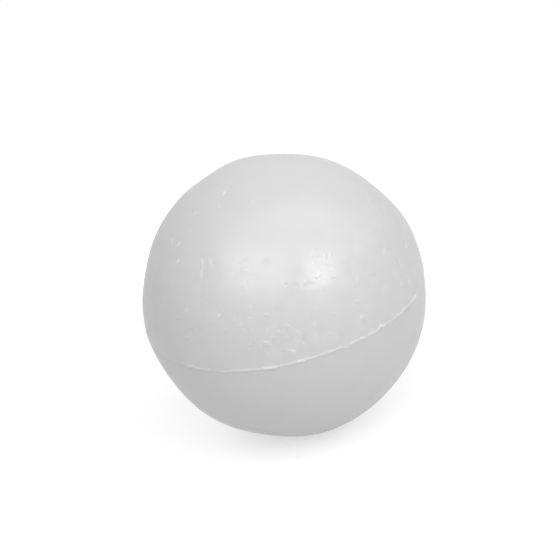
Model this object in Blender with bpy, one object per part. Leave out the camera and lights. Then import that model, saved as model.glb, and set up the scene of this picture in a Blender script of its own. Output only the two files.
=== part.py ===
"""Polystyrene ball, 100 mm across: one solid moulding of expanded beads.

Metres, +Z up. The origin is the centre of the ball. Its two mould halves met in the XY plane, so the thin flash
that they left runs round the ball there, and +Z points to the pole of the upper half.
"""

import math

import bmesh
import bpy

# Ball
BALL_DIAMETER = 0.100

# Flash along the parting line: a low fin that tapers from its foot on the ball to a narrow crest
FLASH_HEIGHT = 0.0004
FLASH_FOOT_WIDTH = 0.0010
FLASH_CREST_WIDTH = 0.0004

# Facets of the turned surface
STEPS_AROUND = 96
STEPS_POLE_TO_FLASH = 24

# The profile is turned once for each facet, and the copies of its two ends meet at the poles
POLE_MERGE_DISTANCE = 0.000001

# Edges that fold by more than this stay sharp: those of the flash
SHARP_ANGLE = math.radians(20)

# Satin white foam
FOAM_COLOUR = (0.80, 0.80, 0.80, 1.0)
FOAM_ROUGHNESS = 0.45
FOAM_METALLIC = 0.0


def clear_scene():
    for item in list(bpy.data.objects):
        bpy.data.objects.remove(item, do_unlink=True)


def foam_material():
    material = bpy.data.materials.new("foam")
    material.use_nodes = True
    shader = material.node_tree.nodes["Principled BSDF"]
    shader.inputs["Base Color"].default_value = FOAM_COLOUR
    shader.inputs["Roughness"].default_value = FOAM_ROUGHNESS
    shader.inputs["Metallic"].default_value = FOAM_METALLIC
    return material


def upper_arc():
    """Points (radius from the axis, height) from the upper pole down to the foot of the flash."""
    radius = BALL_DIAMETER / 2
    foot_latitude = math.asin(FLASH_FOOT_WIDTH / 2 / radius)
    step = (math.pi / 2 - foot_latitude) / STEPS_POLE_TO_FLASH
    arc = [(0.0, radius)]
    for i in range(1, STEPS_POLE_TO_FLASH + 1):
        latitude = math.pi / 2 - i * step
        arc.append((radius * math.cos(latitude), radius * math.sin(latitude)))
    return arc


def ball_profile():
    """The ball's outline on one side of its axis, top to bottom: upper arc, flash, lower arc."""
    arc = upper_arc()
    crest_radius = BALL_DIAMETER / 2 + FLASH_HEIGHT
    half = arc + [(crest_radius, FLASH_CREST_WIDTH / 2)]
    mirrored = [(r, -z) for r, z in reversed(half)]
    return half + mirrored


def turned_mesh(name, profile):
    """The profile spun once round the Z axis into a closed surface whose faces point out."""
    shape = bmesh.new()
    vertices = [shape.verts.new((r, 0.0, z)) for r, z in profile]
    edges = [shape.edges.new(pair) for pair in zip(vertices, vertices[1:])]
    bmesh.ops.spin(
        shape,
        geom=vertices + edges,
        cent=(0.0, 0.0, 0.0),
        axis=(0.0, 0.0, 1.0),
        angle=math.tau,
        steps=STEPS_AROUND,
        use_merge=True,
    )
    bmesh.ops.remove_doubles(shape, verts=shape.verts, dist=POLE_MERGE_DISTANCE)
    bmesh.ops.recalc_face_normals(shape, faces=shape.faces)
    mesh = bpy.data.meshes.new(name)
    shape.to_mesh(mesh)
    shape.free()
    mesh.shade_smooth()
    mesh.set_sharp_from_angle(angle=SHARP_ANGLE)
    return mesh


def add_ball():
    mesh = turned_mesh("ball", ball_profile())
    mesh.materials.append(foam_material())
    ball = bpy.data.objects.new("ball", mesh)
    bpy.context.scene.collection.objects.link(ball)
    return ball


def main():
    clear_scene()
    add_ball()


main()
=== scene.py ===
import math
import random
from collections import namedtuple

import bmesh
import bpy
import numpy as np
from mathutils import Matrix, Vector, noise
from mathutils.kdtree import KDTree


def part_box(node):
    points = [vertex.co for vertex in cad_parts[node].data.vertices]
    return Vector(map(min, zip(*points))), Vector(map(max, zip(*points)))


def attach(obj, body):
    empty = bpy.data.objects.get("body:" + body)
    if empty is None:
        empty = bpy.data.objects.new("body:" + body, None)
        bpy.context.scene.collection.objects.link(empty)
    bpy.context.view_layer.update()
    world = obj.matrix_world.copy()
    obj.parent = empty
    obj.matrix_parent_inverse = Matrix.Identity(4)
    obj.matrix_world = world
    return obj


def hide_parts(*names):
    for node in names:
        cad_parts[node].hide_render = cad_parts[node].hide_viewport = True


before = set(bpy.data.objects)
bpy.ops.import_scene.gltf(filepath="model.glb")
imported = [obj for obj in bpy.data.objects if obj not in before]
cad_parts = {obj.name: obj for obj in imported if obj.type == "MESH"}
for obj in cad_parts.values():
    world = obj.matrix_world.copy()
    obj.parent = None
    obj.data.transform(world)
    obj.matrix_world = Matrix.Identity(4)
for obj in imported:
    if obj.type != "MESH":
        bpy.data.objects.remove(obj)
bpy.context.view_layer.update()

# The ball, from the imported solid: only the flash stands out past its radius
LOW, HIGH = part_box("ball")
BALL_RADIUS = (HIGH.z - LOW.z) / 2
FLASH_HEIGHT = (HIGH.x - LOW.x) / 2 - BALL_RADIUS

# The photograph's frame and the ball in it, in pixels from the upper left corner
PHOTO_SIZE = 560
PHOTO_MIDDLE = 280.0
BALL_PIXEL_X = 284.28
BALL_PIXEL_Y = 295.00
BALL_PIXEL_RADIUS = 141.92
PIXEL = BALL_RADIUS / BALL_PIXEL_RADIUS

# The camera looks down on the parting line, and leans so that the upper pole tips to the left
CAMERA_DISTANCE = 0.55
CAMERA_ELEVATION = math.radians(25.9)
CAMERA_LEAN = math.radians(14.4)
SENSOR_WIDTH = 36.0

# Surface mesh: an icosphere, then shorter edges on the marked half, on the flash, on the marks and round
# them. Low marks take longer edges, and on a wide mark an edge may be a share of its half width.
ICOSPHERE_LEVEL = 6
REFINE_PASSES = 4
BEAD_EDGE = 0.0012
BEAD_EDGE_LOW = -0.0020
BEAD_EDGE_HIGH = 0.0450
SEAM_HALF_BAND = 0.0011
SEAM_EDGE = 0.00028
FLASH_EDGE = 0.00017
FLASH_MARGIN = 0.00050
MARK_EDGE = 0.00024
LOW_MARK_EDGE = 0.00034
LOW_MARK = 0.00004
WIDE_MARK_SHARE = 0.28
MARK_MARGIN = 0.00015
SKIRT_EDGE = 0.00060
SKIRT = 0.00055

# Both halves rise a little towards the seam, so that they meet at a slight angle. Just below the seam the
# lower one is darkened: painted shade under the flash, fading downwards.
CREASE_HEIGHT = 0.00016
CREASE_REACH = 0.0040
LOWER_EDGE_PAINTED_SHADE = -0.30
LOWER_EDGE_SHADE_REACH = 0.0060

# Where the outline in the photograph swells out or is flattened a little: its direction in degrees,
# counter-clockwise from the photograph's right, its height in pixels and its reach in degrees
Swell = namedtuple("Swell", "angle height reach")
SWELLS = (
    Swell(angle=6, height=-0.7, reach=9),
    Swell(angle=31, height=1.1, reach=12),
    Swell(angle=50, height=-0.6, reach=10),
    Swell(angle=70, height=0.4, reach=11),
    Swell(angle=91, height=-0.7, reach=9),
    Swell(angle=110, height=1.3, reach=10),
    Swell(angle=125, height=-0.6, reach=6),
    Swell(angle=134, height=0.6, reach=9),
    Swell(angle=149, height=0.4, reach=9),
    Swell(angle=170, height=-1.2, reach=11),
    Swell(angle=194, height=0.8, reach=13),
    Swell(angle=216, height=-0.7, reach=12),
    Swell(angle=238, height=0.8, reach=13),
    Swell(angle=262, height=-0.9, reach=10),
    Swell(angle=288, height=1.1, reach=13),
    Swell(angle=318, height=-0.3, reach=10),
    Swell(angle=340, height=0.2, reach=12),
)

# How far from that outline a swell reaches, over the ball's radius
SWELL_WIDTH = 0.22

# Foam beads
BEAD_SPACING = 0.0042
BEAD_CLOSEST = 0.0036
BEAD_TRIES = 60000
BEAD_GROOVE = 0.0011
BEAD_CROWN = 0.000022
BEAD_TILT = 0.016
SEED = 41

# The share of the bead relief that shows: most of it only on a band above the flash, whose heights are over
# the ball's radius. Noise of one size makes it uneven.
SMOOTH_SHARE = 0.25
BAND_START = -0.10
BAND_LOW = 0.04
BAND_HIGH = 0.72
BAND_FADE_BELOW = 0.15
BAND_FADE_ABOVE = 0.10
UNEVEN_SIZE = 0.016
UNEVEN_LEAST = 0.4

# How uneven the edge, height and tone of a mark are, and how much narrower it is at its ends
WANDER_SIZE = 0.0011
WANDER = 0.00022
UNEVEN_HEIGHT_SIZE = 0.0012
UNEVEN_HEIGHT = 0.45
END_TAPER = 0.4

# Heights and depths of marks: a level one has no relief, only its tone
HIGH_RIDGE = 0.000100
RIDGE = 0.000060
LOW_RIDGE = 0.000035
FAINT = 0.000018
LEVEL = 0.0
SHALLOW = -0.000024
PIT = -0.000070
DEEP = -0.000160

# How far a mark lightens or darkens the foam. The darker tones are painted shade, in pits and on the shaded
# sides of ridges; the paler ones are partly whiter foam on raised lips and partly painted highlight where
# ridges catch the light.
PALEST = 2.0
BRIGHT = 1.6
WHITE = 1.0
PALE = 0.5
HINT = 0.2
DIM = -0.2
DUSKY = -0.5
DARK = -1.0

# A mark that the photograph shows: its middle, width and length in pixels, its turn from the photograph's
# horizontal in degrees, counter-clockwise, its height in metres and its tone. Without a length it is a dot,
# and without a height and tone it is a low, pale ridge.
Mark = namedtuple("Mark", "x y width length turn rise tone", defaults=(0, 0, LOW_RIDGE, PALE))

# A part of the ball where the photograph shows more or less bead relief: its middle and reach in pixels
Patch = namedtuple("Patch", "x y reach change")

# A stretch of the flash, from one pixel to another: its width in pixels and its share of the usual height
Flash = namedtuple("Flash", "x1 y1 x2 y2 width share")
FLASH_USUAL_HEIGHT = FLASH_HEIGHT * 0.50
# How much paler the flash is painted per share of its height: painted highlight for the light its top
# catches
FLASH_PAINTED_HIGHLIGHT = 1.75

# The flash slopes gently above and drops off short below, over this share of its half width
FLASH_LOWER_SHARE = 0.33

# A ridge or groove on the ball, in metres
Stroke = namedtuple("Stroke", "start end half_width rise tone")

UPPER_LEFT = (
    Mark(x=224.8, y=190.4, length=7, turn=84, width=3.8, rise=RIDGE, tone=PALE),
    Mark(x=223.8, y=193.2, length=3.5, turn=80, width=4.6, rise=RIDGE, tone=BRIGHT),
    Mark(x=227.8, y=194.0, length=4, turn=90, width=3.2, rise=SHALLOW, tone=DUSKY),
    Mark(x=219.2, y=206.3, length=4, turn=90, width=4.6),
    Mark(x=195.3, y=213.0, width=6.2, rise=HIGH_RIDGE, tone=BRIGHT),
    Mark(x=192.2, y=212.6, width=4.8, rise=PIT, tone=DUSKY),
    Mark(x=190.5, y=230.6, width=7.0),
    Mark(x=179.2, y=243.7, width=6.4, rise=HIGH_RIDGE, tone=PALEST),
    Mark(x=176.7, y=245.8, width=4.0, rise=RIDGE, tone=WHITE),
    Mark(x=177.0, y=248.0, length=2, width=3.0, rise=SHALLOW, tone=DUSKY),
    Mark(x=180.6, y=246.6, width=3.2, rise=SHALLOW, tone=DUSKY),
    Mark(x=174.6, y=242.2, length=2, turn=90, width=3.4, rise=SHALLOW, tone=DUSKY),
    Mark(x=172.2, y=241.8, length=5.5, turn=88, width=3.4, rise=LOW_RIDGE, tone=WHITE),
    Mark(x=178.1, y=260.9, width=5.6, rise=HIGH_RIDGE, tone=PALEST),
    Mark(x=175.6, y=261.4, width=3.0, rise=SHALLOW, tone=DIM),
    Mark(x=179.0, y=263.6, length=2, turn=20, width=3.0, rise=SHALLOW, tone=DUSKY),
    Mark(x=170.2, y=265.0, length=11, turn=-70, width=3.8, rise=FAINT, tone=HINT),
    Mark(x=248.8, y=202.0, length=5, turn=90, width=3.4, rise=SHALLOW, tone=DUSKY),
    Mark(x=251.4, y=202.0, length=4, turn=90, width=3.8),
    Mark(x=213.5, y=230.0, length=3, turn=80, width=4.6, rise=FAINT, tone=HINT),
)

UPPER_MIDDLE = (
    Mark(x=266.0, y=197.0, length=3, turn=90, width=3.8, rise=FAINT, tone=HINT),
    Mark(x=265.6, y=201.2, length=3, width=3.4, rise=SHALLOW, tone=DIM),
    Mark(x=302.5, y=194.0, length=4, turn=90, width=4.0, rise=FAINT, tone=HINT),
    Mark(x=310.0, y=183.2, width=4.4, rise=FAINT, tone=HINT),
    Mark(x=333.8, y=202.0, width=4.4, rise=SHALLOW, tone=DIM),
    Mark(x=364.4, y=198.4, length=5, turn=-60, width=4.2, rise=SHALLOW, tone=DIM),
    Mark(x=372.6, y=201.6, length=3, turn=90, width=4.2, rise=SHALLOW, tone=DIM),
    Mark(x=388.6, y=214.6, length=3, width=4.0, rise=SHALLOW, tone=DIM),
    Mark(x=283.2, y=226.8, width=3.6, rise=FAINT, tone=HINT),
    Mark(x=298.8, y=226.6, width=4.0, rise=FAINT, tone=HINT),
    Mark(x=278.6, y=232.6, length=4, turn=75, width=4.6, rise=FAINT, tone=HINT),
)

LEFT_SLITS = (
    Mark(x=202.3, y=263.6, length=9.5, turn=-84, width=3.8, rise=RIDGE, tone=WHITE),
    Mark(x=200.9, y=275.0, length=11.5, turn=86, width=4.2, rise=RIDGE, tone=WHITE),
    Mark(x=196.4, y=278.0, length=4, turn=90, width=3.4, rise=SHALLOW, tone=DUSKY),
    Mark(x=203.8, y=273.5, length=7, turn=88, width=3.4, rise=SHALLOW, tone=DIM),
    Mark(x=205.2, y=265.0, length=5, turn=88, width=3.4, rise=SHALLOW, tone=DIM),
    Mark(x=210.3, y=262.0, length=5, turn=90, width=3.8, rise=RIDGE, tone=WHITE),
    Mark(x=207.5, y=262.0, length=3.5, turn=90, width=3.2, rise=SHALLOW, tone=DUSKY),
    Mark(x=214.8, y=264.0, length=5, turn=-75, width=6.0, rise=SHALLOW, tone=DIM),
    Mark(x=210.2, y=251.0, length=3, turn=90, width=4.2, rise=FAINT, tone=HINT),
    Mark(x=232.8, y=274.0, length=5, turn=88, width=4.4, rise=FAINT, tone=PALE),
    Mark(x=235.6, y=276.0, width=3.2, rise=SHALLOW, tone=DIM),
    Mark(x=221.0, y=270.4, width=4.0, rise=FAINT, tone=HINT),
    Mark(x=198.6, y=290.0, length=8, turn=85, width=9.0, rise=FAINT, tone=HINT),
    Mark(x=186.4, y=311.0, length=3, width=6.0, rise=RIDGE, tone=WHITE),
    Mark(x=177.8, y=316.2, length=4.5, turn=-10, width=4.4),
    Mark(x=178.0, y=319.6, length=4, width=4.0, rise=SHALLOW, tone=DUSKY),
    Mark(x=206.0, y=300.6, length=3, width=3.2, rise=SHALLOW, tone=DIM),
    Mark(x=218.8, y=315.3, width=5.4, rise=HIGH_RIDGE, tone=BRIGHT),
    Mark(x=219.0, y=312.0, width=3.4, rise=SHALLOW, tone=DIM),
    Mark(x=186.3, y=336.7, length=5, turn=-4, width=4.0),
    Mark(x=186.2, y=340.0, length=4, width=4.8, rise=SHALLOW, tone=DUSKY),
    Mark(x=192.6, y=339.6, length=6, turn=-32, width=4.0, rise=FAINT, tone=HINT),
    Mark(x=208.0, y=325.6, length=4, width=6.0, rise=SHALLOW, tone=DIM),
    Mark(x=191.4, y=329.8, length=4, turn=15, width=5.6, rise=SHALLOW, tone=DUSKY),
)

LEFT_CLUSTER = (
    Mark(x=240.3, y=263.2, length=1.5, turn=10, width=3.8, rise=SHALLOW, tone=DUSKY),
    Mark(x=245.4, y=259.6, length=5, turn=35, width=3.6, rise=PIT, tone=DUSKY),
    Mark(x=245.0, y=265.0, length=5, turn=15, width=7.0, rise=FAINT, tone=HINT),
    Mark(x=246.1, y=270.3, length=3.8, turn=-3, width=3.6, rise=RIDGE, tone=BRIGHT),
    Mark(x=243.6, y=273.0, length=4.5, width=4.0, rise=SHALLOW, tone=DIM),
    Mark(x=248.5, y=275.6, length=8, turn=-5, width=7.0, rise=SHALLOW, tone=DIM),
    Mark(x=247.2, y=282.2, length=4, turn=84, width=4.0, rise=SHALLOW, tone=DUSKY),
    Mark(x=244.8, y=284.6, length=6, turn=86, width=4.4),
    Mark(x=241.6, y=290.4, length=4.5, turn=-42, width=5.0, rise=SHALLOW, tone=DUSKY),
    Mark(x=266.4, y=261.8, length=7, turn=90, width=12.0, rise=SHALLOW, tone=DUSKY),
    Mark(x=285.9, y=284.6, width=4.2, rise=DEEP, tone=DARK),
    Mark(x=286.0, y=287.5, width=3.2),
    Mark(x=278.0, y=283.0, length=3, width=4.0, rise=SHALLOW, tone=DIM),
)

RIGHT_CLUSTER = (
    Mark(x=312.5, y=251.5, length=7, turn=68, width=4.2),
    Mark(x=315.6, y=249.4, length=2, turn=80, width=3.6, rise=SHALLOW, tone=DUSKY),
    Mark(x=306.2, y=258.5, length=3, turn=60, width=5.5, rise=FAINT, tone=HINT),
    Mark(x=312.9, y=257.2, width=3.4, rise=SHALLOW, tone=DUSKY),
    Mark(x=315.0, y=257.4, length=4, turn=-62, width=3.0),
    Mark(x=319.5, y=259.4, length=5.5, turn=4, width=3.6),
    Mark(x=318.5, y=255.5, length=3, width=4.4, rise=SHALLOW, tone=DIM),
    Mark(x=324.4, y=256.8, length=5.5, turn=88, width=3.6, rise=RIDGE, tone=WHITE),
    Mark(x=327.2, y=255.6, length=5, turn=90, width=3.2, rise=PIT, tone=DUSKY),
    Mark(x=329.8, y=254.0, length=6, turn=90, width=3.4, rise=RIDGE, tone=WHITE),
    Mark(x=332.8, y=253.6, length=4, turn=90, width=3.0, rise=SHALLOW, tone=DIM),
    Mark(x=312.4, y=262.6, width=4.0),
    Mark(x=315.5, y=262.5, length=1.5, turn=90, width=3.8, rise=SHALLOW, tone=DUSKY),
    Mark(x=325.8, y=267.4, length=5, turn=-18, width=3.4, rise=FAINT, tone=PALE),
    Mark(x=331.2, y=268.6, length=1.5, turn=6, width=3.0, rise=FAINT, tone=BRIGHT),
    Mark(x=330.2, y=271.2, length=3, width=3.0, rise=SHALLOW, tone=DUSKY),
    Mark(x=313.2, y=272.4, length=4, width=3.2, rise=SHALLOW, tone=DUSKY),
    Mark(x=313.4, y=275.6, length=5, turn=-10, width=3.8, rise=FAINT, tone=PALE),
    Mark(x=317.2, y=275.0, length=4, turn=40, width=3.8, rise=FAINT, tone=BRIGHT),
    Mark(x=319.2, y=272.4, length=3, turn=78, width=3.4, rise=FAINT, tone=WHITE),
    Mark(x=316.6, y=278.6, length=1.5, turn=15, width=3.8, rise=PIT, tone=DARK),
    Mark(x=320.4, y=276.4, length=3, turn=55, width=3.0, rise=SHALLOW, tone=DARK),
    Mark(x=325.2, y=276.4, length=9, turn=-40, width=4.6, rise=FAINT, tone=PALE),
    Mark(x=332.2, y=281.4, length=5, turn=-20, width=4.4),
    Mark(x=333.4, y=278.0, length=2.5, turn=-2, width=3.6, rise=PIT, tone=DARK),
    Mark(x=336.8, y=278.2, length=3.5, turn=-12, width=3.0, rise=SHALLOW, tone=DUSKY),
    Mark(x=339.5, y=276.8, length=3, turn=-8, width=3.4, rise=FAINT, tone=HINT),
    Mark(x=312.8, y=280.2, length=4, turn=-5, width=3.4),
    Mark(x=304.8, y=280.4, width=4.2),
    # These two darker marks are painted shade alone, with no relief
    Mark(x=308.4, y=283.4, length=5.5, turn=2, width=6.0, rise=LEVEL, tone=DARK),
    Mark(x=313.0, y=283.4, length=3, width=3.4, rise=LEVEL, tone=DUSKY),
    Mark(x=303.8, y=285.2, length=3, turn=25, width=3.8, rise=SHALLOW, tone=DUSKY),
    Mark(x=300.8, y=285.8, length=4, turn=-80, width=3.4),
    Mark(x=303.2, y=288.6, width=3.2, rise=FAINT, tone=PALE),
    Mark(x=306.6, y=289.0, length=2, width=3.4, rise=FAINT, tone=PALE),
    Mark(x=295.0, y=285.0, length=5, width=5.0, rise=SHALLOW, tone=DIM),
    Mark(x=321.5, y=291.5, length=4, width=3.6, rise=SHALLOW, tone=DIM),
    Mark(x=315.6, y=308.0, length=2, width=13.0, rise=FAINT, tone=PALE),
)

RIGHT_SIDE = (
    Mark(x=350.0, y=268.6, length=8, turn=90, width=7.0, rise=SHALLOW, tone=DIM),
    Mark(x=356.9, y=278.2, length=5, turn=84, width=4.8, rise=LOW_RIDGE, tone=WHITE),
    Mark(x=373.4, y=275.0, length=3.5, width=4.2, rise=SHALLOW, tone=DUSKY),
    Mark(x=383.5, y=251.6, length=6, turn=76, width=4.8, rise=RIDGE, tone=WHITE),
    Mark(x=387.6, y=249.4, length=1.5, turn=90, width=3.6, rise=SHALLOW, tone=DUSKY),
    Mark(x=379.6, y=246.4, length=4, turn=-45, width=3.4, rise=SHALLOW, tone=DIM),
    Mark(x=382.6, y=258.2, width=3.4, rise=FAINT, tone=HINT),
    Mark(x=387.4, y=284.4, width=4.0, rise=FAINT, tone=PALE),
    Mark(x=385.0, y=287.6, length=1.5, turn=60, width=4.2),
    Mark(x=393.0, y=278.4, width=3.6, rise=SHALLOW, tone=DIM),
    Mark(x=392.0, y=275.0, width=3.6, rise=FAINT, tone=HINT),
    Mark(x=399.8, y=262.2, length=5, turn=-72, width=3.6, rise=HIGH_RIDGE, tone=WHITE),
    Mark(x=401.6, y=267.0, length=4, turn=-68, width=3.0, rise=RIDGE, tone=WHITE),
    Mark(x=397.2, y=261.4, length=4, turn=-84, width=4.0, rise=SHALLOW, tone=DUSKY),
    Mark(x=405.9, y=246.0, length=7, turn=-86, width=3.4, rise=RIDGE, tone=WHITE),
    Mark(x=400.9, y=283.0, length=6, turn=84, width=4.4, rise=RIDGE, tone=WHITE),
    Mark(x=408.9, y=282.0, length=3.5, turn=88, width=3.8, rise=RIDGE, tone=WHITE),
    Mark(x=357.2, y=300.5, length=5, width=3.6, rise=RIDGE, tone=WHITE),
    Mark(x=357.0, y=303.2, length=5, width=3.4, rise=SHALLOW, tone=DIM),
    Mark(x=352.2, y=300.2, width=4.0, rise=SHALLOW, tone=DIM),
    Mark(x=349.8, y=298.0, width=3.4, rise=SHALLOW, tone=DIM),
    Mark(x=352.6, y=304.0, length=2, turn=70, width=3.8, rise=LOW_RIDGE, tone=WHITE),
    Mark(x=361.4, y=316.4, length=3.5, turn=42, width=5.4, rise=RIDGE, tone=WHITE),
    Mark(x=366.0, y=315.6, length=3, turn=-5, width=3.4, rise=FAINT, tone=PALE),
    Mark(x=365.4, y=312.2, length=5, turn=-14, width=3.6, rise=SHALLOW, tone=DUSKY),
    Mark(x=365.0, y=322.2, length=5, turn=-60, width=6.0, rise=SHALLOW, tone=DUSKY),
    Mark(x=334.4, y=315.4, length=3, turn=-20, width=5.0, rise=SHALLOW, tone=DIM),
    Mark(x=334.0, y=312.6, length=3, width=3.4, rise=FAINT, tone=HINT),
    Mark(x=343.0, y=305.0, width=3.2, rise=SHALLOW, tone=DIM),
)

LOWER_BAND = (
    Mark(x=234.0, y=319.8, length=4, turn=60, width=5.0),
    Mark(x=233.0, y=323.6, length=4, width=4.4, rise=SHALLOW, tone=DIM),
    Mark(x=241.2, y=324.4, length=4, turn=22, width=4.2),
    Mark(x=242.0, y=327.4, length=5, turn=5, width=4.0, rise=SHALLOW, tone=DIM),
    Mark(x=250.0, y=318.0, length=6, turn=2, width=3.0, rise=RIDGE, tone=WHITE),
    Mark(x=249.8, y=315.7, length=3.5, width=2.8, rise=SHALLOW, tone=DIM),
    Mark(x=245.0, y=312.6, width=3.4, rise=SHALLOW, tone=DIM),
    Mark(x=250.2, y=306.0, length=2, width=4.8, rise=FAINT, tone=PALE),
    Mark(x=225.2, y=328.8, length=5, turn=4, width=4.0, rise=FAINT, tone=PALE),
    Mark(x=226.0, y=331.6, length=4, turn=-4, width=4.6, rise=SHALLOW, tone=DUSKY),
    Mark(x=226.0, y=334.6, length=5, width=5.0, rise=SHALLOW, tone=DIM),
    Mark(x=265.9, y=314.1, length=4.5, width=3.4, rise=RIDGE, tone=WHITE),
    Mark(x=265.4, y=316.3, length=3, width=3.0, rise=SHALLOW, tone=DIM),
    Mark(x=244.4, y=330.4, length=1.5, turn=90, width=4.4),
    Mark(x=247.6, y=329.8, length=1.5, turn=90, width=3.8, rise=PIT, tone=DUSKY),
    Mark(x=266.8, y=330.4, length=5, turn=-88, width=4.4),
    Mark(x=277.6, y=332.0, length=3, width=5.6),
    Mark(x=275.6, y=329.2, length=3, turn=35, width=3.4, rise=SHALLOW, tone=DUSKY),
    Mark(x=280.0, y=328.8, length=2.5, turn=-12, width=3.4, rise=SHALLOW, tone=DUSKY),
    Mark(x=278.0, y=335.2, length=3, width=3.2, rise=SHALLOW, tone=DIM),
    Mark(x=285.6, y=324.6, length=3.5, turn=-6, width=4.2),
    Mark(x=289.8, y=326.6, length=4, turn=-38, width=3.6),
    Mark(x=286.6, y=328.0, length=3.5, width=3.8, rise=SHALLOW, tone=DUSKY),
    Mark(x=287.0, y=332.4, length=4, turn=90, width=7.0, rise=SHALLOW, tone=DIM),
    Mark(x=286.4, y=338.0, length=4.5, turn=-3, width=4.0, rise=RIDGE, tone=PALE),
    Mark(x=273.5, y=305.0, length=4, width=4.8, rise=FAINT, tone=HINT),
    Mark(x=275.0, y=308.2, width=4.0, rise=SHALLOW, tone=DIM),
    Mark(x=272.5, y=336.5, length=5, turn=-5, width=3.4, rise=FAINT, tone=PALE),
    Mark(x=273.4, y=339.6, length=4, width=4.4, rise=SHALLOW, tone=DIM),
    Mark(x=297.8, y=333.0, length=6, turn=-70, width=9.0, rise=FAINT, tone=PALE),
    Mark(x=304.2, y=336.2, length=5, turn=80, width=8.0, rise=SHALLOW, tone=DUSKY),
    Mark(x=304.6, y=328.7, length=6, turn=2, width=3.6, rise=FAINT, tone=HINT),
    Mark(x=304.6, y=322.6, length=5, turn=-55, width=4.0, rise=SHALLOW, tone=DIM),
    Mark(x=301.6, y=318.4, length=2, turn=-45, width=4.0, rise=FAINT, tone=HINT),
    Mark(x=314.5, y=325.4, length=6, turn=90, width=6.0, rise=FAINT, tone=PALE),
    Mark(x=317.6, y=334.0, length=3, turn=90, width=3.0, rise=SHALLOW, tone=DIM),
    Mark(x=303.4, y=342.9, length=1.5, turn=25, width=5.0, rise=HIGH_RIDGE, tone=BRIGHT),
    Mark(x=303.0, y=340.0, length=1.5, width=3.4, rise=SHALLOW, tone=DIM),
    Mark(x=312.0, y=345.4, length=4, width=7.0, rise=SHALLOW, tone=DIM),
    Mark(x=290.0, y=350.0, length=7, turn=-4, width=4.2, rise=RIDGE, tone=WHITE),
    Mark(x=294.0, y=351.2, length=3.5, turn=-6, width=4.8, rise=RIDGE, tone=BRIGHT),
    Mark(x=267.6, y=354.0, length=4, turn=-85, width=4.8),
    Mark(x=249.6, y=344.4, length=3, turn=-25, width=4.2),
    Mark(x=250.8, y=347.2, length=3.5, width=3.6, rise=PIT, tone=DUSKY),
    Mark(x=254.0, y=343.2, length=4, width=4.0, rise=SHALLOW, tone=DUSKY),
    Mark(x=330.2, y=333.2, length=4, turn=5, width=3.8),
    Mark(x=330.6, y=335.4, length=4, turn=15, width=3.4, rise=SHALLOW, tone=DUSKY),
    Mark(x=327.4, y=338.0, length=6, turn=56, width=4.2, rise=SHALLOW, tone=DIM),
    Mark(x=331.0, y=326.2, length=4, width=4.0, rise=FAINT, tone=HINT),
    Mark(x=341.6, y=334.0, width=4.8, rise=SHALLOW, tone=DUSKY),
)

ARCH = (
    Mark(x=260.6, y=344.8, length=4, turn=80, width=3.6),
    Mark(x=265.6, y=341.9, length=6, width=3.6, rise=RIDGE, tone=WHITE),
    Mark(x=265.8, y=342.2, width=3.4, rise=RIDGE, tone=WHITE),
    Mark(x=270.4, y=345.0, length=6, turn=-52, width=3.2),
    Mark(x=265.4, y=339.4, length=3, width=3.0, rise=SHALLOW, tone=DIM),
    Mark(x=265.4, y=346.4, length=6, width=5.6, rise=SHALLOW, tone=DUSKY),
    Mark(x=271.6, y=342.6, length=2.5, turn=-60, width=3.0, rise=SHALLOW, tone=DIM),
)

PATCHES = (
    Patch(x=272, y=232, reach=62, change=-0.85),
    Patch(x=285, y=300, reach=26, change=-0.45),
    Patch(x=320, y=268, reach=34, change=0.25),
    Patch(x=245, y=275, reach=28, change=0.15),
    Patch(x=275, y=335, reach=48, change=0.30),
    Patch(x=225, y=352, reach=30, change=-0.50),
    Patch(x=380, y=310, reach=24, change=-0.40),
)

SEEN_MARKS = (
    UPPER_LEFT + UPPER_MIDDLE + LEFT_SLITS + LEFT_CLUSTER + RIGHT_CLUSTER + RIGHT_SIDE + LOWER_BAND + ARCH
)

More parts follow.
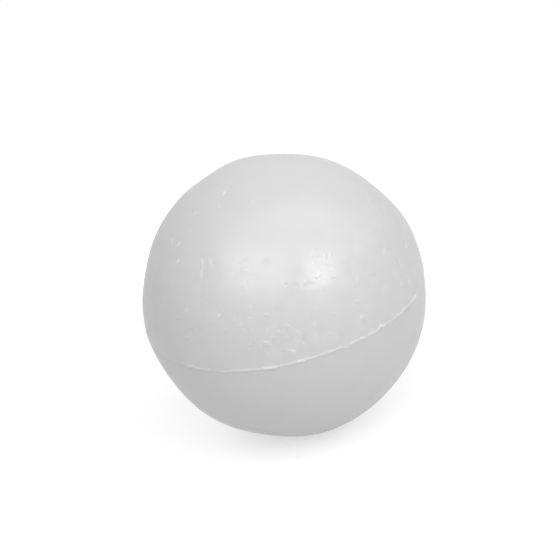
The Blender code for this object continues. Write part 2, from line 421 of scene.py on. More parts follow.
SEEN_FLASH = (
    Flash(x1=180.5, y1=363.0, x2=183.0, y2=363.6, width=4.2, share=0.30),
    Flash(x1=183.0, y1=363.8, x2=187.0, y2=365.8, width=4.2, share=0.50),
    Flash(x1=187.0, y1=366.6, x2=193.8, y2=366.5, width=4.6, share=0.85),
    Flash(x1=193.8, y1=366.8, x2=197.0, y2=368.7, width=4.2, share=0.60),
    Flash(x1=197.0, y1=368.3, x2=203.4, y2=369.3, width=5.7, share=0.70),
    Flash(x1=203.4, y1=369.5, x2=210.8, y2=370.1, width=5.0, share=0.55),
    Flash(x1=210.8, y1=370.4, x2=220.0, y2=370.9, width=4.2, share=0.35),
    Flash(x1=220.0, y1=371.3, x2=232.4, y2=371.4, width=3.8, share=0.75),
    Flash(x1=232.4, y1=371.0, x2=248.4, y2=370.6, width=5.5, share=0.95),
    Flash(x1=248.4, y1=370.1, x2=260.6, y2=369.6, width=5.2, share=0.75),
    Flash(x1=260.6, y1=369.6, x2=264.4, y2=369.0, width=4.4, share=0.45),
    Flash(x1=264.4, y1=368.8, x2=276.4, y2=367.4, width=5.9, share=1.40),
    Flash(x1=276.4, y1=367.0, x2=281.0, y2=366.2, width=4.8, share=0.60),
    Flash(x1=281.0, y1=365.6, x2=290.0, y2=364.3, width=5.2, share=0.80),
    Flash(x1=290.0, y1=364.0, x2=298.2, y2=362.0, width=5.0, share=0.65),
    Flash(x1=298.2, y1=361.6, x2=303.4, y2=361.0, width=4.8, share=1.50),
    Flash(x1=303.4, y1=361.0, x2=306.0, y2=359.2, width=4.4, share=0.80),
    Flash(x1=306.0, y1=359.2, x2=311.6, y2=358.4, width=4.8, share=0.95),
    Flash(x1=311.6, y1=357.8, x2=316.0, y2=357.0, width=4.6, share=1.05),
    Flash(x1=316.0, y1=356.6, x2=327.6, y2=353.4, width=4.8, share=0.65),
    Flash(x1=328.0, y1=352.2, x2=333.4, y2=351.3, width=5.0, share=1.00),
    Flash(x1=333.4, y1=350.8, x2=339.0, y2=348.6, width=4.8, share=0.75),
    Flash(x1=339.0, y1=348.2, x2=347.8, y2=347.6, width=5.7, share=0.60),
    Flash(x1=347.8, y1=346.2, x2=350.4, y2=344.6, width=4.0, share=0.25),
    Flash(x1=350.4, y1=344.2, x2=353.6, y2=342.2, width=4.8, share=1.10),
    Flash(x1=353.6, y1=342.2, x2=360.6, y2=339.4, width=5.0, share=0.85),
    Flash(x1=360.6, y1=338.6, x2=364.4, y2=338.4, width=5.5, share=1.10),
    Flash(x1=364.4, y1=337.6, x2=369.0, y2=335.8, width=5.0, share=0.55),
    Flash(x1=369.4, y1=334.2, x2=372.6, y2=333.4, width=5.0, share=1.15),
    Flash(x1=372.6, y1=332.8, x2=376.6, y2=332.0, width=6.3, share=0.65),
    Flash(x1=376.8, y1=331.2, x2=380.4, y2=326.6, width=5.2, share=0.95),
    Flash(x1=380.4, y1=326.3, x2=384.6, y2=326.2, width=5.9, share=1.15),
    Flash(x1=384.6, y1=324.6, x2=388.4, y2=323.0, width=4.6, share=0.70),
    Flash(x1=388.8, y1=322.2, x2=391.8, y2=321.4, width=5.7, share=0.50),
    Flash(x1=391.8, y1=320.8, x2=396.2, y2=316.8, width=5.0, share=0.80),
    Flash(x1=397.0, y1=316.0, x2=398.6, y2=315.0, width=5.9, share=1.20),
    Flash(x1=400.8, y1=313.8, x2=403.0, y2=310.6, width=5.8, share=1.05),
    Flash(x1=402.8, y1=309.8, x2=403.8, y2=309.2, width=5.9, share=1.15),
    Flash(x1=404.2, y1=309.6, x2=410.4, y2=303.4, width=5.4, share=0.80),
    Flash(x1=410.4, y1=303.4, x2=413.8, y2=299.4, width=5.8, share=0.95),
    Flash(x1=413.8, y1=298.8, x2=415.6, y2=297.0, width=6.7, share=1.10),
    Flash(x1=416.4, y1=295.4, x2=417.8, y2=292.8, width=5.8, share=0.35),
)

# Hollows along the flash, where the photograph shows a darker edge or a pit. Their dark tones are painted
# shade under the flash and in the pits.
FLASH_HOLLOWS = (
    Mark(x=184.0, y=366.2, length=2, turn=-20, width=3.0, rise=SHALLOW, tone=DIM),
    Mark(x=190.2, y=368.8, length=6, width=3.0, rise=SHALLOW, tone=DUSKY),
    Mark(x=200.8, y=371.6, width=5.0, rise=DEEP, tone=DARK),
    Mark(x=247.0, y=372.4, length=14, turn=1, width=3.0, rise=SHALLOW, tone=DUSKY),
    Mark(x=269.8, y=370.8, length=11, turn=6, width=3.2, rise=PIT, tone=DARK),
    Mark(x=303.5, y=363.4, length=8, turn=14, width=4.0, rise=SHALLOW, tone=DIM),
    Mark(x=333.0, y=354.8, length=4, turn=10, width=4.0, rise=SHALLOW, tone=DIM),
    Mark(x=349.8, y=347.4, length=2.5, turn=20, width=4.0, rise=SHALLOW, tone=DUSKY),
    Mark(x=356.5, y=343.8, length=5, turn=24, width=3.4, rise=SHALLOW, tone=DIM),
    Mark(x=382.4, y=330.6, length=3, turn=55, width=5.0, rise=SHALLOW, tone=DUSKY),
    Mark(x=387.0, y=327.0, length=2.5, turn=60, width=4.4, rise=SHALLOW, tone=DIM),
    Mark(x=406.2, y=311.4, length=9, turn=47, width=6.0, rise=SHALLOW, tone=DUSKY),
    Mark(x=348.4, y=340.6, width=3.6, rise=SHALLOW, tone=DIM),
    Mark(x=386.6, y=320.6, length=2, turn=25, width=3.2, rise=SHALLOW, tone=DUSKY),
    Mark(x=262.4, y=365.2, length=4, turn=-8, width=3.0, rise=SHALLOW, tone=DIM),
)

# Marks that the photograph doesn't show, round the back, on top and below. Each lies between a bead and one
# of its neighbours, where the nearest bead to a bead is itself. The commoner looks stand twice.
UNSEEN_BAND_MARKS = 150
UNSEEN_OTHER_MARKS = 26
NEAREST_NEIGHBOUR = 2
FARTHEST_NEIGHBOUR = 5
UNSEEN_HALF_LENGTHS = (0.0, 0.0005, 0.0009, 0.0015)
UNSEEN_NARROW = 0.0006
UNSEEN_WIDE = 0.0010
# Their dark tones are painted shade in pits; their pale ones are partly whiter foam and partly painted
# highlight
UNSEEN_LOOKS = (
    (HIGH_RIDGE, BRIGHT), (RIDGE, WHITE), (RIDGE, WHITE), (LOW_RIDGE, PALE), (LOW_RIDGE, PALE),
    (FAINT, HINT), (PIT, DUSKY), (SHALLOW, DUSKY), (SHALLOW, DUSKY), (SHALLOW, DIM),
)
FLASH_CLEARANCE = BEAD_GROOVE * 2

# The flash round the back, in stretches: low near the outline, where the photograph shows almost none
UNSEEN_FLASH_SHORTEST = 0.0014
UNSEEN_FLASH_LONGEST = 0.0046
UNSEEN_FLASH_SHARES = (0.25, 0.5, 0.6, 0.75, 0.9, 1.1)
FLASH_WANDER = 0.00016
FLASH_NARROW = 0.00070
FLASH_WIDE = 0.00100
LIMB_FLASH_SHARE = 0.08

# Foam: nearly white, satin
FOAM_WHITENESS = 0.80
BEAD_WHITENESS_SPREAD = 0.045
# How far a mark's tone moves the whiteness: whiter foam, painted shade and painted highlight alike
MARK_WHITENESS_AND_PAINTED_LIGHT = 0.075
GRAIN_WHITENESS_SPREAD = 0.012
FOAM_ROUGHNESS = 0.245
ROUGHNESS_SPREAD = 0.02
FOAM_IOR = 1.59

# The fine roughness of foam dulls its gloss at a slant, by how far the surface turns away, from 0 to 1
FOAM_GLOSS = 0.50
SLANTED_GLOSS = 0.04
SLANT_START = 0.40
SLANT_END = 0.80

# Noise in the foam: a fine grain and large faint clouds
GRAIN_SCALE = 700.0
GRAIN_DETAIL = 3.0
CLOUD_SCALE = 60.0
CLOUD_DETAIL = 2.0
GRAIN_HEIGHT = 0.000012
GRAIN_STRENGTH = 0.35

# Light, by direction from the ball in the camera's own frame: azimuth to the right and elevation above its
# level, width and height, all in degrees, the radiance of the panel, and whether it shows in gloss: a fill
# light doesn't
Panel = namedtuple("Panel", "name azimuth elevation width height radiance in_gloss", defaults=(True,))
PANEL_DISTANCE = 1.2
PANELS = (
    Panel(name="right_softbox", azimuth=29, elevation=21, width=29, height=25, radiance=2.13),
    Panel(name="left_softbox", azimuth=-23, elevation=18, width=48, height=35, radiance=1.73),
    Panel(name="overhead_panel", azimuth=10, elevation=53, width=105, height=45, radiance=0.64),
    Panel(name="rear_overhead_panel", azimuth=29, elevation=65, width=43, height=21, radiance=0.37),
    Panel(name="right_inner_panel", azimuth=27, elevation=14, width=17, height=14, radiance=2.97),
    Panel(name="rear_fill", azimuth=180, elevation=48, width=80, height=44, radiance=0.65, in_gloss=False),
)
WORLD_LIGHT = 0.20

# Floor and background: further from the ball's axis the floor fades to the white of the background
FLOOR_RADIUS = 3.0
FLOOR_SIDES = 96
FLOOR_WHITENESS = 0.71
FLOOR_GLOW = 0.56
FADE_START = 0.12
FADE_END = 0.40


def camera_axes():
    """The camera's right, up and backward directions."""
    back = Vector((0.0, -math.cos(CAMERA_ELEVATION), math.sin(CAMERA_ELEVATION)))
    level_right = Vector((1.0, 0.0, 0.0))
    level_up = back.cross(level_right)
    right = level_right * math.cos(CAMERA_LEAN) - level_up * math.sin(CAMERA_LEAN)
    up = level_right * math.sin(CAMERA_LEAN) + level_up * math.cos(CAMERA_LEAN)
    return right, up, back


RIGHT, UP, BACK = camera_axes()

# The distance from the camera's axis, per unit of depth, at which its view just touches the ball
LIMB_SLOPE = math.tan(math.asin(BALL_RADIUS / CAMERA_DISTANCE))


def on_ball(x, y):
    """The point of the ball that the photograph shows at this pixel."""
    across = (x - BALL_PIXEL_X) / BALL_PIXEL_RADIUS * LIMB_SLOPE
    above = (BALL_PIXEL_Y - y) / BALL_PIXEL_RADIUS * LIMB_SLOPE
    ray = (RIGHT * across + UP * above - BACK).normalized()
    eye = BACK * CAMERA_DISTANCE
    nearest = -eye.dot(ray)
    miss_squared = eye.length_squared - nearest * nearest
    depth = math.sqrt(max(BALL_RADIUS ** 2 - miss_squared, 0.0))
    return (eye + ray * (nearest - depth)).normalized() * BALL_RADIUS


def mark_stroke(mark):
    """The mark on the ball: near the outline, where it is seen at a slant, it is wider than it looks."""
    turn = math.radians(mark.turn)
    along_x, along_y = math.cos(turn), math.sin(turn)
    start = on_ball(mark.x - along_x * mark.length / 2, mark.y + along_y * mark.length / 2)
    end = on_ball(mark.x + along_x * mark.length / 2, mark.y - along_y * mark.length / 2)
    side = on_ball(mark.x + along_y * mark.width / 2, mark.y + along_x * mark.width / 2)
    half_width = (side - on_ball(mark.x, mark.y)).length if mark.length > 0 else mark.width * PIXEL / 2
    return Stroke(start, end, half_width, mark.rise, mark.tone)


def flash_stroke(flash):
    start = on_ball(flash.x1, flash.y1)
    end = on_ball(flash.x2, flash.y2)
    rise = flash.share * FLASH_USUAL_HEIGHT
    return Stroke(start, end, flash.width * PIXEL / 2, rise, flash.share * FLASH_PAINTED_HIGHLIGHT)


def random_direction(chance):
    height = chance.uniform(-1.0, 1.0)
    turn = chance.uniform(0.0, math.tau)
    spread = math.sqrt(1.0 - height * height)
    return Vector((spread * math.cos(turn), spread * math.sin(turn), height))


def bead_centres(strokes, chance):
    """Middles of the foam beads: a pair astride each mark, where two beads meet, then the rest."""
    centres = []
    room = math.cos(BEAD_CLOSEST / BALL_RADIUS)
    known = np.zeros((BEAD_TRIES, 3))

    def add(direction):
        if np.all(known[:len(centres)] @ np.array(direction) < room):
            known[len(centres)] = direction
            centres.append(direction * BALL_RADIUS)

    for stroke in strokes:
        middle = (stroke.start + stroke.end).normalized()
        along = stroke.end - stroke.start
        if along.length < PIXEL:
            along = random_direction(chance)
        across = middle.cross(along).normalized() * (BEAD_SPACING / 2 / BALL_RADIUS)
        add((middle + across).normalized())
        add((middle - across).normalized())
    for _ in range(BEAD_TRIES):
        add(random_direction(chance))
    return centres


def tree_of(points):
    tree = KDTree(len(points))
    for i, point in enumerate(points):
        tree.insert(point, i)
    tree.balance()
    return tree


def seen_in_photo(point):
    """Whether the camera of the photograph sees this point of the ball."""
    return point.dot(BACK) > BALL_RADIUS * BALL_RADIUS / CAMERA_DISTANCE


def unseen_strokes(centres, chance):
    """Marks where two beads meet, on the stretches of the ball that the photograph doesn't show."""
    tree = tree_of(centres)
    strokes = []
    wanted = {True: UNSEEN_BAND_MARKS, False: UNSEEN_OTHER_MARKS}
    while sum(wanted.values()) > 0:
        bead = chance.choice(centres)
        neighbour = Vector(tree.find_n(bead, chance.randint(NEAREST_NEIGHBOUR, FARTHEST_NEIGHBOUR))[-1][0])
        middle = (bead + neighbour).normalized() * BALL_RADIUS
        in_band = BAND_LOW < middle.z / BALL_RADIUS < BAND_HIGH
        if seen_in_photo(middle) or wanted[in_band] == 0 or abs(middle.z) < FLASH_CLEARANCE:
            continue
        wanted[in_band] -= 1
        along = middle.cross(neighbour - bead).normalized()
        half_length = along * chance.choice(UNSEEN_HALF_LENGTHS)
        half_width = chance.uniform(UNSEEN_NARROW, UNSEEN_WIDE)
        rise, tone = chance.choice(UNSEEN_LOOKS)
        strokes.append(Stroke(middle - half_length, middle + half_length, half_width, rise, tone))
    return strokes


def unseen_flash(chance):
    """The flash round the back, from the right end of the stretch in the photograph to its left end."""
    first = on_ball(SEEN_FLASH[-1].x2, SEEN_FLASH[-1].y2)
    last = on_ball(SEEN_FLASH[0].x1, SEEN_FLASH[0].y1)
    turn = math.atan2(first.y, first.x)
    end_turn = math.atan2(last.y, last.x) % math.tau
    strokes = []
    while turn < end_turn:
        length = chance.uniform(UNSEEN_FLASH_SHORTEST, UNSEEN_FLASH_LONGEST)
        next_turn = min(turn + length / BALL_RADIUS, end_turn)
        height = chance.uniform(-FLASH_WANDER, FLASH_WANDER)
        start = Vector((math.cos(turn), math.sin(turn), 0.0)) * BALL_RADIUS
        end = Vector((math.cos(next_turn), math.sin(next_turn), 0.0)) * BALL_RADIUS
        offset = Vector((0.0, 0.0, height))
        half_width = chance.uniform(FLASH_NARROW, FLASH_WIDE)
        share = chance.choice(UNSEEN_FLASH_SHARES)
        if seen_in_photo(start + end):
            share = LIMB_FLASH_SHARE
        rise, tone = share * FLASH_USUAL_HEIGHT, share * FLASH_PAINTED_HIGHLIGHT
        strokes.append(Stroke(start + offset, end + offset, half_width, rise, tone))
        turn = next_turn
    return strokes


def near_stroke(stroke, points, reach):
    """Which points lie within reach of a stroke, how far from its middle line, and how far along it."""
    start, end = np.array(stroke.start), np.array(stroke.end)
    middle = (start + end) / 2
    along = end - start
    length_squared = along @ along
    circle = reach + math.sqrt(length_squared) / 2
    offset = points - middle
    found = np.nonzero(np.einsum("ij,ij->i", offset, offset) < circle * circle)[0]
    relative = points[found] - start
    share = np.full(len(found), 0.5)
    if length_squared > 0:
        share = np.clip(relative @ along / length_squared, 0.0, 1.0)
    distance = np.linalg.norm(relative - share[:, None] * along, axis=1)
    inside = distance < reach
    return found[inside], distance[inside], share[inside]


def longest_edge(points, marks, flash):
    """The longest edge that the relief allows at each point."""
    allowed = np.full(len(points), np.inf)
    allowed[(points[:, 2] > BEAD_EDGE_LOW) & (points[:, 2] < BEAD_EDGE_HIGH)] = BEAD_EDGE
    allowed[np.abs(points[:, 2]) < SEAM_HALF_BAND] = SEAM_EDGE
    for stroke in flash:
        found, _, _ = near_stroke(stroke, points, FLASH_MARGIN)
        allowed[found] = FLASH_EDGE
    for stroke in marks:
        found, distance, _ = near_stroke(stroke, points, stroke.half_width + SKIRT)
        on_mark = distance < stroke.half_width + MARK_MARGIN
        edge = LOW_MARK_EDGE if abs(stroke.rise) < LOW_MARK else MARK_EDGE
        edge = max(edge, WIDE_MARK_SHARE * stroke.half_width)
        limit = np.where(on_mark, edge, max(edge, SKIRT_EDGE))
        allowed[found] = np.minimum(allowed[found], limit)
    return allowed


def fine_sphere(marks, flash):
    """A sphere of triangles whose edges are short where the relief is fine."""
    shape = bmesh.new()
    bmesh.ops.create_icosphere(shape, subdivisions=ICOSPHERE_LEVEL, radius=BALL_RADIUS)
    for _ in range(REFINE_PASSES):
        starts = np.array([edge.verts[0].co for edge in shape.edges])
        ends = np.array([edge.verts[1].co for edge in shape.edges])
        lengths = np.linalg.norm(ends - starts, axis=1)
        too_long = lengths > longest_edge((starts + ends) / 2, marks, flash)
        edges = [edge for edge, long in zip(shape.edges, too_long) if long]
        bmesh.ops.subdivide_edges(shape, edges=edges, cuts=1)
        bmesh.ops.triangulate(shape, faces=shape.faces)
        for vertex in shape.verts:
            vertex.co = vertex.co.normalized() * BALL_RADIUS
    bmesh.ops.recalc_face_normals(shape, faces=shape.faces)
    mesh = bpy.data.meshes.new("ball_skin")
    shape.to_mesh(mesh)
    shape.free()
    return mesh


def noise_at(points, size):
    """Smooth noise from -1 to 1 that varies over this size."""
    return np.array([noise.noise(Vector(point) / size) for point in points])


def wandered(points):
    """The points moved a little by smooth noise, so that a mark drawn on them comes out uneven."""
    # noise_vector starts from a random offset, which is another one each run unless it is seeded
    noise.seed_set(SEED)
    moves = [noise.noise_vector(Vector(point) / WANDER_SIZE) for point in points]
    return points + WANDER * np.array(moves)


def smooth_step(low, high, value):
    share = np.clip((value - low) / (high - low), 0.0, 1.0)
    return share * share * (3 - 2 * share)


def outline_swell(points):
    """How far the ball stands out or lies back near the outline that the camera sees."""
    directions = points / BALL_RADIUS
    past_limb = directions @ np.array(BACK) - BALL_RADIUS / CAMERA_DISTANCE
    angles = np.degrees(np.arctan2(directions @ np.array(UP), directions @ np.array(RIGHT)))
    heights = np.zeros(len(points))
    for swell in SWELLS:
        away = (angles - swell.angle + 180) % 360 - 180
        heights += swell.height * PIXEL * np.exp(-(away / swell.reach) ** 2)
    return heights * np.exp(-(past_limb / SWELL_WIDTH) ** 2)


def bead_relief(points, centres, chance):
    """Height of the foam's beads at each point, and a shade from 0 to 1 for the bead that it lies on."""
    tree = tree_of(centres)
    tilts = [random_direction(chance) * BEAD_TILT for _ in centres]
    shades = [chance.random() for _ in centres]
    heights = np.zeros(len(points))
    shade = np.zeros(len(points))
    for i, point in enumerate(points):
        (bead, index, nearest), (_, _, second) = tree.find_n(point, 2)
        crown = 1 - math.exp(-((second - nearest) / BEAD_GROOVE) ** 2)
        lean = tilts[index].dot(Vector(point) - bead)
        heights[i] = (BEAD_CROWN + lean) * crown
        shade[i] = 0.5 + (shades[index] - 0.5) * crown
    return heights, shade


def texture_share(points):
    """How much of the bead relief shows: most on the band above the flash, less towards the poles."""
    height = points[:, 2] / BALL_RADIUS
    rising = smooth_step(BAND_START, BAND_LOW, height)
    falling = 1 - smooth_step(BAND_HIGH - BAND_FADE_BELOW, BAND_HIGH + BAND_FADE_ABOVE, height)
    uneven = 0.5 + 0.5 * noise_at(points, UNEVEN_SIZE)
    share = UNEVEN_LEAST + (1 - UNEVEN_LEAST) * uneven
    for patch in PATCHES:
        middle = np.array(on_ball(patch.x, patch.y))
        distance = np.linalg.norm(points - middle, axis=1) / (patch.reach * PIXEL)
        share += patch.change * np.clip(1 - distance ** 2, 0.0, 1.0) ** 2
    share = np.clip(share, SMOOTH_SHARE, None)
    return SMOOTH_SHARE + (share - SMOOTH_SHARE) * rising * falling


def stroke_profile(stroke, distance, share):
    """A stroke's cross-section at these distances from its middle line: rounded, narrower at its ends."""
    half_width = stroke.half_width * (1 - END_TAPER * (2 * share - 1) ** 2)
    return np.clip(1 - (distance / half_width) ** 2, 0.0, 1.0) ** 2


def add_strokes(points, strokes, heights, tones):
    """Adds each mark's height and tone to the points under it."""
    for stroke in strokes:
        found, distance, share = near_stroke(stroke, points, stroke.half_width)
        profile = stroke_profile(stroke, distance, share)
        heights[found] += stroke.rise * profile
        tones[found] += stroke.tone * profile


def add_flash(points, strokes, heights, tones):
    """Raises the flash and paints its highlight: where stretches meet, the higher one counts."""
    ridge = np.zeros(len(points))
    tone = np.zeros(len(points))
    for stroke in strokes:
        found, distance, share = near_stroke(stroke, points, stroke.half_width)
        line_height = stroke.start.z + share * (stroke.end.z - stroke.start.z)
        below = points[found, 2] < line_height
        reach = np.where(below, FLASH_LOWER_SHARE, 1.0) * stroke.half_width
        profile = np.clip(1 - (distance / reach) ** 2, 0.0, 1.0) ** 2
        # The painted highlight has a flatter top than the ridge, so that it spreads over the downward flank
        # too
        paler = np.clip(1 - (distance / reach) ** 4, 0.0, 1.0) ** 2
        ridge[found] = np.maximum(ridge[found], stroke.rise * profile)
        tone[found] = np.maximum(tone[found], stroke.tone * paler)
    heights += ridge
    tones += tone


def add_attribute(mesh, name, values):
    attribute = mesh.attributes.new(name, "FLOAT", "POINT")
    attribute.data.foreach_set("value", values.astype(np.float32))


def ball_skin():
    """The ball's visible surface: beads, marks and flash as real relief on a fine sphere, with painted
    shade and highlight in its tone.
    """
    chance = random.Random(SEED)
    seen = [mark_stroke(mark) for mark in SEEN_MARKS + FLASH_HOLLOWS]
    centres = bead_centres(seen, chance)
    marks = seen + unseen_strokes(centres, chance)
    seen_flash = [flash_stroke(part) for part in SEEN_FLASH]
    flash = seen_flash + unseen_flash(chance)
    mesh = fine_sphere(marks, seen_flash)
    points = np.array([vertex.co for vertex in mesh.vertices])
    heights, shade = bead_relief(points, centres, chance)
    share = texture_share(points)
    heights *= share
    shade = 0.5 + (shade - 0.5) * share
    heights += CREASE_HEIGHT * np.exp(-np.abs(points[:, 2]) / CREASE_REACH)
    heights += outline_swell(points)
    tones = np.zeros(len(points))
    mark_heights = np.zeros(len(points))
    add_strokes(wandered(points), marks, mark_heights, tones)
    uneven = 1 + UNEVEN_HEIGHT * noise_at(points, UNEVEN_HEIGHT_SIZE)
    heights += mark_heights * uneven
    tones *= uneven
    # Painted shade: the foam just below the flash darkened, fading away below the seam
    tones += np.where(points[:, 2] < 0, LOWER_EDGE_PAINTED_SHADE * np.exp(points[:, 2] / LOWER_EDGE_SHADE_REACH), 0.0)
    add_flash(points, flash, heights, tones)
    raised = points * (1 + heights / BALL_RADIUS)[:, None]
    mesh.vertices.foreach_set("co", raised.ravel())
    # The tone attribute holds whiter foam together with painted shade and painted highlight
    add_attribute(mesh, "tone", np.clip(tones, DARK, PALEST))
    add_attribute(mesh, "bead", shade)
    mesh.shade_smooth()
    skin = bpy.data.objects.new("ball_skin", mesh)
    bpy.context.scene.collection.objects.link(skin)
    return skin


def add_node(tree, kind, **settings):
    node = tree.nodes.new(kind)
    for name, value in settings.items():
        setattr(node, name, value)
    return node


def multiply_add(tree, value, factor, addend):
    """value * factor + addend, where addend is a number or another output."""
    node = add_node(tree, "ShaderNodeMath", operation="MULTIPLY_ADD")
    tree.links.new(value, node.inputs[0])
    node.inputs[1].default_value = factor
    if isinstance(addend, float):
        node.inputs[2].default_value = addend
    else:
        tree.links.new(addend, node.inputs[2])
    return node.outputs[0]


def object_noise(tree, coordinates, scale, detail):
    node = add_node(tree, "ShaderNodeTexNoise")
    node.inputs["Scale"].default_value = scale
    node.inputs["Detail"].default_value = detail
    tree.links.new(coordinates, node.inputs["Vector"])
    return node.outputs[0]


def foam_material():
    """Satin white foam, a little uneven from bead to bead, with painted highlight on the flash, whiter foam
    and painted highlight on ridges, and painted shade in the pits and below the flash.
    """
    material = bpy.data.materials.new("moulded_foam")
    material.use_nodes = True
    tree = material.node_tree
    shader = tree.nodes["Principled BSDF"]
    coordinates = add_node(tree, "ShaderNodeTexCoord").outputs["Object"]
    tone = add_node(tree, "ShaderNodeAttribute", attribute_name="tone").outputs["Fac"]
    bead = add_node(tree, "ShaderNodeAttribute", attribute_name="bead").outputs["Fac"]
    grain = object_noise(tree, coordinates, GRAIN_SCALE, GRAIN_DETAIL)
    cloud = object_noise(tree, coordinates, CLOUD_SCALE, CLOUD_DETAIL)

    spread = (BEAD_WHITENESS_SPREAD + GRAIN_WHITENESS_SPREAD) / 2
    whiteness = multiply_add(tree, bead, BEAD_WHITENESS_SPREAD, FOAM_WHITENESS - spread)
    whiteness = multiply_add(tree, cloud, GRAIN_WHITENESS_SPREAD, whiteness)
    # The tone adds painted shade and painted highlight to the base colour, along with whiter foam
    whiteness = multiply_add(tree, tone, MARK_WHITENESS_AND_PAINTED_LIGHT, whiteness)
    tree.links.new(whiteness, shader.inputs["Base Color"])

    roughness = multiply_add(tree, grain, ROUGHNESS_SPREAD, FOAM_ROUGHNESS - ROUGHNESS_SPREAD)
    roughness = multiply_add(tree, bead, ROUGHNESS_SPREAD, roughness)
    tree.links.new(roughness, shader.inputs["Roughness"])
    shader.inputs["IOR"].default_value = FOAM_IOR

    gloss = add_node(tree, "ShaderNodeMapRange")
    gloss.inputs["From Min"].default_value = SLANT_START
    gloss.inputs["From Max"].default_value = SLANT_END
    gloss.inputs["To Min"].default_value = FOAM_GLOSS
    gloss.inputs["To Max"].default_value = SLANTED_GLOSS
    tree.links.new(add_node(tree, "ShaderNodeLayerWeight").outputs["Facing"], gloss.inputs["Value"])
    tree.links.new(gloss.outputs["Result"], shader.inputs["Specular IOR Level"])

    bump = add_node(tree, "ShaderNodeBump")
    bump.inputs["Strength"].default_value = GRAIN_STRENGTH
    bump.inputs["Distance"].default_value = GRAIN_HEIGHT
    tree.links.new(grain, bump.inputs["Height"])
    tree.links.new(bump.outputs["Normal"], shader.inputs["Normal"])
    return material


def add_ball():
    skin = ball_skin()
    skin.data.materials.append(foam_material())
    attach(skin, "root")
    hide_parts("ball")


def background_rays(tree):
    """1 for the rays that see the background: the camera's own and those off gloss or through glass."""
    path = add_node(tree, "ShaderNodeLightPath")
    first = add_node(tree, "ShaderNodeMath", operation="MAXIMUM")
    tree.links.new(path.outputs["Is Camera Ray"], first.inputs[0])
    tree.links.new(path.outputs["Is Glossy Ray"], first.inputs[1])
    second = add_node(tree, "ShaderNodeMath", operation="MAXIMUM")
    tree.links.new(first.outputs[0], second.inputs[0])
    tree.links.new(path.outputs["Is Transmission Ray"], second.inputs[1])
    return second.outputs[0]


def floor_material():
    """A pale floor that takes the ball's shadow, and is plain white further out."""
    material = bpy.data.materials.new("studio_floor")
    material.use_nodes = True
    tree = material.node_tree
    tree.nodes.clear()
    rays = background_rays(tree)

    coordinates = add_node(tree, "ShaderNodeTexCoord").outputs["Object"]
    distance = add_node(tree, "ShaderNodeVectorMath", operation="LENGTH")
    tree.links.new(coordinates, distance.inputs[0])
    fade = add_node(tree, "ShaderNodeMapRange", interpolation_type="SMOOTHSTEP")
    fade.inputs["From Min"].default_value = FADE_START
    fade.inputs["From Max"].default_value = FADE_END
    tree.links.new(distance.outputs["Value"], fade.inputs["Value"])
    faded = add_node(tree, "ShaderNodeMath", operation="MULTIPLY")
    tree.links.new(fade.outputs["Result"], faded.inputs[0])
    tree.links.new(rays, faded.inputs[1])

    diffuse = add_node(tree, "ShaderNodeBsdfDiffuse")
    diffuse.inputs["Color"].default_value = (FLOOR_WHITENESS, FLOOR_WHITENESS, FLOOR_WHITENESS, 1.0)
    glow = add_node(tree, "ShaderNodeEmission")
    tree.links.new(multiply_add(tree, rays, FLOOR_GLOW, 0.0), glow.inputs["Strength"])
    lit = add_node(tree, "ShaderNodeAddShader")
    tree.links.new(diffuse.outputs[0], lit.inputs[0])
    tree.links.new(glow.outputs[0], lit.inputs[1])
    white = add_node(tree, "ShaderNodeEmission")
    white.inputs["Strength"].default_value = 1.0
    mix = add_node(tree, "ShaderNodeMixShader")
    tree.links.new(faded.outputs[0], mix.inputs[0])
    tree.links.new(lit.outputs[0], mix.inputs[1])
    tree.links.new(white.outputs[0], mix.inputs[2])
    output = add_node(tree, "ShaderNodeOutputMaterial")
    tree.links.new(mix.outputs[0], output.inputs["Surface"])
    return material


def add_floor():
    shape = bmesh.new()
    bmesh.ops.create_circle(shape, cap_ends=True, radius=FLOOR_RADIUS, segments=FLOOR_SIDES)
    mesh = bpy.data.meshes.new("studio_floor")
    shape.to_mesh(mesh)
    shape.free()
    mesh.materials.append(floor_material())
    floor = bpy.data.objects.new("studio_floor", mesh)
    floor.location.z = LOW.z
    bpy.context.scene.collection.objects.link(floor)


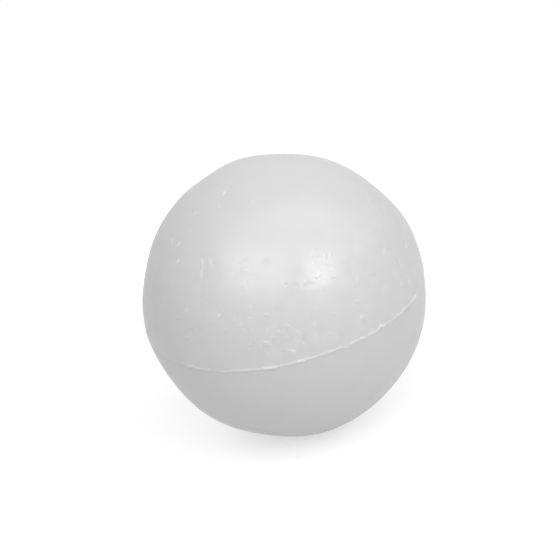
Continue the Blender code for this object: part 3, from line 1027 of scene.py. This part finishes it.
def set_world():
    world = bpy.data.worlds.new("studio")
    bpy.context.scene.world = world
    world.use_nodes = True
    tree = world.node_tree
    tree.nodes.clear()
    light = add_node(tree, "ShaderNodeBackground")
    light.inputs["Color"].default_value = (1.0, 1.0, 1.0, 1.0)
    light.inputs["Strength"].default_value = WORLD_LIGHT
    white = add_node(tree, "ShaderNodeBackground")
    white.inputs["Color"].default_value = (1.0, 1.0, 1.0, 1.0)
    white.inputs["Strength"].default_value = 1.0
    mix = add_node(tree, "ShaderNodeMixShader")
    tree.links.new(background_rays(tree), mix.inputs[0])
    tree.links.new(light.outputs[0], mix.inputs[1])
    tree.links.new(white.outputs[0], mix.inputs[2])
    output = add_node(tree, "ShaderNodeOutputWorld")
    tree.links.new(mix.outputs[0], output.inputs["Surface"])


def facing_ball(direction):
    """The turn of a lamp or camera that looks at the ball from this direction, level with the camera."""
    side = UP.cross(direction).normalized()
    return Matrix((side, direction.cross(side), direction)).transposed().to_4x4()


def add_panel(panel):
    azimuth, elevation = math.radians(panel.azimuth), math.radians(panel.elevation)
    level = RIGHT * math.sin(azimuth) + BACK * math.cos(azimuth)
    direction = level * math.cos(elevation) + UP * math.sin(elevation)
    lamp = bpy.data.lights.new(panel.name, "AREA")
    lamp.shape = "RECTANGLE"
    lamp.size = 2 * PANEL_DISTANCE * math.tan(math.radians(panel.width) / 2)
    lamp.size_y = 2 * PANEL_DISTANCE * math.tan(math.radians(panel.height) / 2)
    lamp.energy = panel.radiance * math.pi * lamp.size * lamp.size_y
    holder = bpy.data.objects.new(panel.name, lamp)
    holder.matrix_world = Matrix.Translation(direction * PANEL_DISTANCE) @ facing_ball(direction)
    holder.visible_glossy = panel.in_gloss
    bpy.context.scene.collection.objects.link(holder)


def add_camera():
    camera = bpy.data.cameras.new("camera")
    camera.sensor_width = SENSOR_WIDTH
    camera.lens = SENSOR_WIDTH * BALL_PIXEL_RADIUS / LIMB_SLOPE / PHOTO_SIZE
    camera.shift_x = (PHOTO_MIDDLE - BALL_PIXEL_X) / PHOTO_SIZE
    camera.shift_y = (BALL_PIXEL_Y - PHOTO_MIDDLE) / PHOTO_SIZE
    holder = bpy.data.objects.new("camera", camera)
    holder.matrix_world = Matrix.Translation(BACK * CAMERA_DISTANCE) @ facing_ball(BACK)
    bpy.context.scene.collection.objects.link(holder)
    bpy.context.scene.camera = holder


add_camera()
set_world()
for each_panel in PANELS:
    add_panel(each_panel)
add_floor()
add_ball()
bpy.context.scene.view_settings.view_transform = "Standard"
